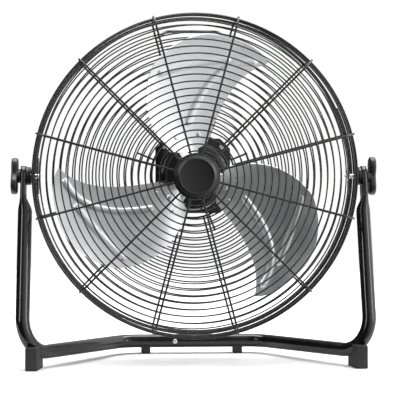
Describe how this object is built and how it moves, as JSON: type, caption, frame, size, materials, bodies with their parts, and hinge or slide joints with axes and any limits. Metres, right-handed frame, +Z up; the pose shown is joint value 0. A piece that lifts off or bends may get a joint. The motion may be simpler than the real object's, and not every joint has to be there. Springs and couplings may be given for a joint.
{
  "type": "floor fan",
  "caption": "High-velocity floor fan: metal blades turn in a round wire cage that tilts in a tubular floor stand and locks with side wing knobs.",
  "frame": {"origin": "on the floor, at the middle of the fan's width and depth", "axes": "+Z up; +X to the fan's left-hand side as it blows towards the viewer, along the tilt axis; the air leaves towards -Y"},
  "size_m": [0.6444, 0.2322, 0.6149],
  "materials": {
    "black_tube": "glossy black powder coat",
    "black_wire": "satin black coated wire",
    "bright_steel": "bright zinc-plated steel",
    "blade_aluminium": "plain pressed aluminium sheet",
    "black_plastic": "satin moulded plastic",
    "black_rubber": "matt rubber",
    "copper_winding": "enamelled copper wire"
  },
  "bodies": {
    "stand": {"stand_tube_left": "black_tube", "stand_tube_right": "black_tube", "stand_joint_sleeve": "black_tube", "stand_joint_screw": "bright_steel", "front_foot_left": "black_rubber", "front_foot_right": "black_rubber", "rear_foot_left": "black_rubber", "rear_foot_right": "black_rubber"},
    "head": {"motor_front_shell": "black_tube", "motor_rear_shell": "black_tube", "motor_plate": "black_tube", "carry_handle": "black_tube", "front_face_wire": "black_wire", "rear_face_wire": "black_wire", "front_side_wire": "black_wire", "rear_side_wire": "black_wire", "front_guard_ribs": "black_wire", "rear_guard_ribs": "black_wire", "pivot_bracket_left": "black_wire", "pivot_bracket_right": "black_wire", "pivot_bolt_left": "bright_steel", "pivot_bolt_right": "bright_steel", "stator_core": "bright_steel", "front_bearing": "bright_steel", "rear_bearing": "bright_steel", "bracket_screw_left_front": "bright_steel", "bracket_screw_left_rear": "bright_steel", "bracket_screw_right_front": "bright_steel", "bracket_screw_right_rear": "bright_steel", "motor_screw_1": "bright_steel", "motor_screw_2": "bright_steel", "motor_screw_3": "bright_steel", "motor_screw_4": "bright_steel", "front_cap": "black_plastic", "pivot_collar_left": "black_plastic", "pivot_collar_right": "black_plastic", "speed_switch": "black_plastic", "run_capacitor": "black_plastic", "cable_gland": "black_rubber", "front_winding": "copper_winding", "rear_winding": "copper_winding"},
    "rotor": {"rotor_shaft": "bright_steel", "rotor_core": "bright_steel", "blade_hub": "bright_steel", "hub_nut": "bright_steel", "fan_blade_1": "blade_aluminium", "fan_blade_2": "blade_aluminium", "fan_blade_3": "blade_aluminium", "blade_1_rivet_1": "bright_steel", "blade_1_rivet_2": "bright_steel", "blade_1_rivet_3": "bright_steel", "blade_2_rivet_1": "bright_steel", "blade_2_rivet_2": "bright_steel", "blade_2_rivet_3": "bright_steel", "blade_3_rivet_1": "bright_steel", "blade_3_rivet_2": "bright_steel", "blade_3_rivet_3": "bright_steel"},
    "left_knob": {"tilt_knob_left": "black_plastic"},
    "right_knob": {"tilt_knob_right": "black_plastic"},
    "speed_control": {"speed_knob": "black_plastic"}
  },
  "joints": [
    {"name": "head_tilt", "type": "hinge", "parent": "stand", "child": "head", "pos_m": [0, -0.01112, 0.329], "axis": [1, 0, 0], "range_deg": [-90, 90]},
    {"name": "rotor_spin", "type": "hinge", "parent": "head", "child": "rotor", "pos_m": [0, -0.01112, 0.329], "axis": [0, -1, 0], "continuous": true},
    {"name": "left_knob_turn", "type": "hinge", "parent": "head", "child": "left_knob", "pos_m": [-0.31, -0.01112, 0.329], "axis": [-1, 0, 0], "range_deg": [0, 270]},
    {"name": "right_knob_turn", "type": "hinge", "parent": "head", "child": "right_knob", "pos_m": [0.31, -0.01112, 0.329], "axis": [1, 0, 0], "range_deg": [0, 270]},
    {"name": "speed_knob_turn", "type": "hinge", "parent": "head", "child": "speed_control", "pos_m": [0, 0.10388, 0.293], "axis": [0, 1, 0], "range_deg": [0, 135]}
  ]
}
